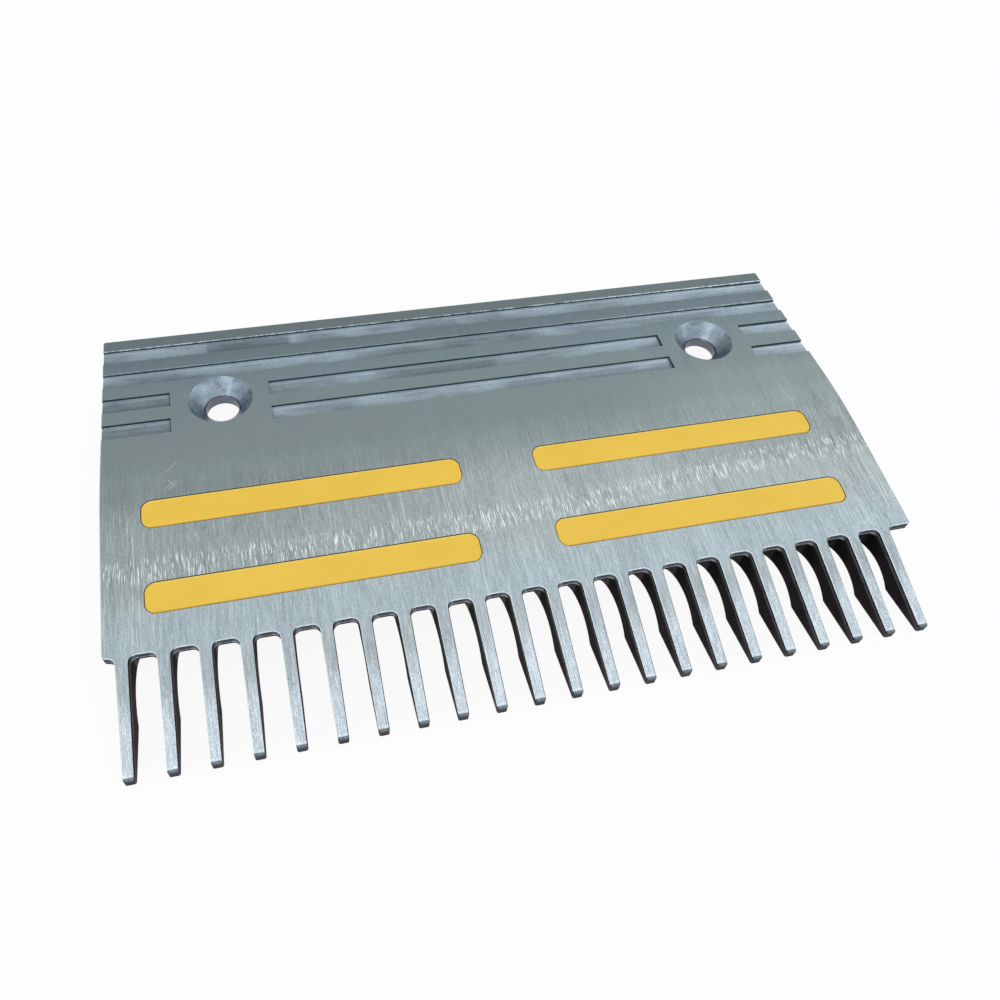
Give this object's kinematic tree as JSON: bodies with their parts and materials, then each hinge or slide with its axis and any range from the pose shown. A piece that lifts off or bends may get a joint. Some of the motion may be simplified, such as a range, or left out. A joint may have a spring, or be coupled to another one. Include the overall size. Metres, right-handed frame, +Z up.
{
  "type": "escalator comb plate",
  "caption": "Cast comb segment for an escalator landing, with tapered teeth, anti-slip grooves, countersunk fixing holes and flush yellow warning strips.",
  "frame": {"origin": "on the mounting face under the flat rear flange, midway between the two fixing screws", "axes": "+X along the comb, the teeth point to -Y, +Z up out of the walking surface"},
  "size_m": [0.2029, 0.1245, 0.0165],
  "materials": {
    "cast_aluminium": "linished front to back on top, as cast below",
    "yellow_plastic": "satin moulded"
  },
  "bodies": {
    "root": {"comb_casting": "cast_aluminium", "strip_rear_left": "yellow_plastic", "strip_rear_right": "yellow_plastic", "strip_front_left": "yellow_plastic", "strip_front_right": "yellow_plastic"}
  },
  "joints": []
}
